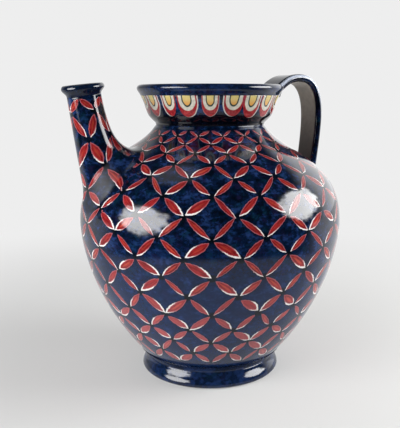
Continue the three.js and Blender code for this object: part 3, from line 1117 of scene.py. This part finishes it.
def makeStrap(s):
    # a section carried along three cubics, with even steps
    root, crown, grip, foot = [np.array(s[k]) for k in ("root", "crown", "grip", "foot")]
    footRun = (grip - foot) / np.linalg.norm(grip - foot)
    fromRoot = root + outwards(s["rootRise"], s["rootPull"])
    line = joined(
        bezier([root, fromRoot, crown - (s["crownPull"][0], 0), crown], count=60),
        bezier([crown, crown + (s["crownPull"][1], 0), grip + (0, s["gripPull"][0]), grip], count=60),
        bezier([grip, grip - (0, s["gripPull"][1]), foot + footRun * s["footPull"], foot], count=60))
    length = lengthAlong(line)
    even = np.linspace(0, length[-1], s["rows"])
    line = np.stack([np.interp(even, length, line[:, k]) for k in (0, 1)], 1)
    travel = directionAlong(line)
    t = even / even[-1]
    width = s["widthFoot"] + (s["widthTop"] - s["widthFoot"]) * (1 - t) ** 2
    swell, reach = s["spread"]
    ends = np.maximum(1 - even / reach, 0) ** 2 + np.maximum(1 - (even[-1] - even) / reach, 0) ** 2
    # section: two flats along Y joined by half-round edges
    turn = np.linspace(np.pi / 2, -np.pi / 2, 15)
    level = np.linspace(-s["flat"], s["flat"], 14)[1:-1]
    edge = s["flat"] + (1 - s["flat"]) * np.cos(turn)
    side = np.concatenate([level, edge, -level, -edge])
    over = np.concatenate([0 * level + 1, np.sin(turn), 0 * level - 1, -np.sin(turn)])
    thick = (s["thickness"] / 2 + swell * ends)[:, None] * over
    wide = (width / 2 + swell * ends)[:, None] * side
    x = line[:, :1] + travel[:, 1:] * thick
    z = line[:, 1:] - travel[:, :1] * thick
    grid = np.stack([x, wide, z], -1)
    caps = [np.broadcast_to(grid[k].mean(0), grid[k].shape)[None] for k in (0, -1)]
    grid = np.concatenate([caps[0], grid, caps[1]])
    inner = np.broadcast_to(ease(over, 0.9, 1.0), grid.shape[:2])
    # painted highlight: over the crown, a pale band on the outer corner of each edge, where the rounded
    # edge catches the light
    corner = ease(over, -0.92, -0.65) * ease(-over, 0.0, 0.4) * (np.abs(side) > s["flat"])
    crownHighlight = np.concatenate([t[:1], t, t[-1:]])[:, None]
    crownHighlight = ease(-crownHighlight, -0.6, -0.3) * corner
    return addPiece("handleStrap", grid, ["handle_strap"], [strapGlaze(s)],
                    closeRows=False, marks={"innerFace": inner, "crownHighlight": crownHighlight})


def strapGlaze(s):
    material, put, here = newMaterial("strapGlaze")
    inner = mark(here.tree, "innerFace")
    # painted light: the inner face's grey-brown turns paler towards the rim, as if lit from above
    dull = mixPaint(easeNode(split(here)[2], *s["innerLightRise"]), *s["innerPaint"])
    brown = mixPaint(easeNode(noise(here, 160, 4), 0.3, 0.7) * 0.25, dull, s["rubbed"])
    coat = useGroup(cobaltGround, Place=here, Depth=-0.05)["Paint"]
    # painted highlight: pale along the edges' outer corners over the crown
    coat = mixPaint(mark(here.tree, "crownHighlight"), coat, s["highlightPaint"])
    gloss(put, here, mixPaint(inner, coat, brown), dull=inner * s["innerDull"])
    return material


makeStrap(strapForm)


# Stage: a pale table that fades into a pale background, a dark room in front and two soft boxes
stage = {
    "tone": ((204, 204, 203), (221, 221, 219)),  # of the table, to the left and right of the jug: painted shade, darker on the left as the light falls from the right
    "toneReach": 0.25,  # metres to each side
    "background": (238, 238, 238),
    "fade": (0.16, 0.75),  # metres from the jug over which the table turns into the background
    "glow": 0.3,  # least share of the background in the table
    "rings": (0, 0.2, 0.5, 1, 2, 4, 8),  # metres
    "turns": 64,
    # what reflections show: the table, which ends at its edge except behind the jug, and the dark room
    "discEdge": (0.36, 0.43),
    "behind": (-0.2, 0.15),
    "discShine": (0.52, 0.64, 1.0),  # brightness in front, behind on the left and on the right
    "shineReach": 0.15,
    "shineBehind": (-0.05, 0.2),
    "room": 0.02,
    "wallShine": (0.35, 1.85),  # brightness of the wall behind, from its left to its right
    "wallSide": 0.6,
    "overhead": [(-114, 70, 0.6)],  # pale places: turn and rise in degrees, brightness
    "overheadEdge": (17, 6),
    # light from the room
    "fill": (0.3, 0.62),  # in front and behind
    "lean": 0.5,  # share by which it is stronger on the left
    "wallReach": (0.15, 0.6),  # share of the view's direction at which the wall begins
    "wallTop": (0.5, 0.7),  # and ends overhead
}
softBoxes = {
    "leftBox": {"turn": -56, "rise": 13, "size": (1.26, 0.98), "core": 0.28, "power": 41},
    "rightBox": {"turn": 87, "rise": 22.5, "size": (1.2, 0.96), "core": 0.32, "power": 41},
}
boxCloth = {
    "distance": 1.25,
    "aim": 0.16,  # height that the boxes look at
    "rim": 0.46,  # share of a side at which the cloth is dark
    "folds": (5, 5, 0.6),
    "foldDepth": (0.56, -0.27),
}


def photoAxes():
    # directions to the right and away, as the camera stands
    turn = math.radians(photoCamera["turn"])
    right = np.array([math.cos(turn), -math.sin(turn), 0])
    forward = np.array([math.sin(turn), math.cos(turn), 0])
    return right, forward


def fromCamera(turn, rise):
    # direction from the jug, turned to the right of the camera's and raised
    right, forward = photoAxes()
    turn, rise = math.radians(turn), math.radians(rise)
    level = right * math.sin(turn) - forward * math.cos(turn)
    return level * math.cos(rise) + np.array([0, 0, math.sin(rise)])


def makeTable(s):
    # flat ring grid about the jug, wide enough for every view
    grid = aboutAxis(np.array(s["rings"])[:, None], fullTurn(s["turns"]), 0)
    mesh = newMesh("table", grid, gridFaces(*grid.shape[:2])[..., ::-1])
    table = newObject("table", mesh)
    material = bpy.data.materials.new("table")
    tree = emptyTree(material)
    x, y, _ = split(take(tree, "TexCoord", output="Object"))
    far = maths("SQRT", x * x + y * y)
    side, back = [x * float(axis[0]) + y * float(axis[1]) for axis in photoAxes()]
    path = takeAll(place(tree, "LightPath").outputs)
    # to the camera
    # painted shade: the table's tone is darker to the left and lighter to the right
    tone = mixPaint(ramp(side, -s["toneReach"], s["toneReach"], 0.0, 1.0), *s["tone"])
    cloth = take(tree, "BsdfDiffuse", tone)
    glow = take(tree, "Emission", paint(s["background"]), 1.0)
    fade = between(easeNode(far, *s["fade"]), s["glow"], 1.0)
    seen = take(tree, "MixShader", fade * path["Is Camera Ray"], cloth, glow)
    # to reflections
    front, backLeft, backRight = s["discShine"]
    shine = ramp(side, -s["shineReach"], s["shineReach"], backLeft, backRight)
    shine = ramp(back, *s["shineBehind"], front, shine)
    disc = take(tree, "Emission", (1, 1, 1, 1), shine)
    dark = take(tree, "Emission", (s["room"], s["room"], s["room"], 1), 1.0)
    beyond = easeNode(far, *s["discEdge"]) * easeNode(back, *s["behind"][::-1])
    disc = take(tree, "MixShader", beyond, disc, dark)
    place(tree, "OutputMaterial", take(tree, "MixShader", path["Is Glossy Ray"], seen, disc))
    mesh.materials.append(material)


def makeRoom(s):
    # world: pale behind the jug as the camera stands, dark in front, and plain pale to the camera itself
    world = bpy.data.worlds.new("room")
    bpy.context.scene.world = world
    tree = emptyTree(world)
    toward = take(tree, "TexCoord", output="Generated")

    def facing(axis):
        return take(tree, "VectorMath", toward, tuple(axis), output="Value", operation="DOT_PRODUCT")

    sideways, ahead = [facing(axis) for axis in photoAxes()]
    pale = easeNode(ahead, *s["wallReach"]) * easeNode(split(toward)[2], *s["wallTop"][::-1])
    leaning = sideways * -s["lean"] + 1.0
    shine = s["room"]
    edge = [math.cos(math.radians(degrees)) for degrees in s["overheadEdge"]]
    for turn, rise, strength in s["overhead"]:
        shine = easeNode(facing(fromCamera(turn, rise)), *edge) * strength + shine
    wall = ramp(sideways, -s["wallSide"], s["wallSide"], *s["wallShine"])
    path = takeAll(place(tree, "LightPath").outputs)
    front, back = [between(path["Is Glossy Ray"], leaning * fill, reflected)
                   for fill, reflected in zip(s["fill"], (shine, wall))]
    around = take(tree, "Background", (1, 1, 1, 1), between(pale, front, back))
    seen = take(tree, "Background", paint(s["background"]), 1.0)
    place(tree, "OutputWorld", take(tree, "MixShader", path["Is Camera Ray"], around, seen))


def makeSoftBox(name, s, cloth):
    toward = fromCamera(s["turn"], s["rise"])
    lamp = bpy.data.lights.new(name, "AREA")
    lamp.shape = "RECTANGLE"
    lamp.size, lamp.size_y = s["size"]
    lamp.energy = s["power"]
    tree = emptyTree(lamp)
    # cloth of the box: bright in the middle and fading unevenly to its rim
    spot = take(tree, "NewGeometry", output="Parametric")
    across = take(tree, "VectorMath", spot, (0.5, 0.5, 0), output="Value", operation="DISTANCE")
    across = across + (noise(spot, *cloth["folds"]) * cloth["foldDepth"][0] + cloth["foldDepth"][1])
    glow = take(tree, "Emission", (1, 1, 1, 1), easeNode(across, cloth["rim"], s["core"]))
    place(tree, "OutputLight", glow)
    box = newObject(name, lamp)
    box.location = tuple(toward * cloth["distance"] + np.array([0, 0, cloth["aim"]]))
    box.rotation_euler = (math.radians(90 - s["rise"]), 0, math.atan2(toward[0], -toward[1]))
    box.visible_camera = False


makeTable(stage)
makeRoom(stage)
for boxName, boxForm in softBoxes.items():
    makeSoftBox(boxName, boxForm, boxCloth)
bpy.context.scene.view_settings.view_transform = "Standard"
print("stage lit")
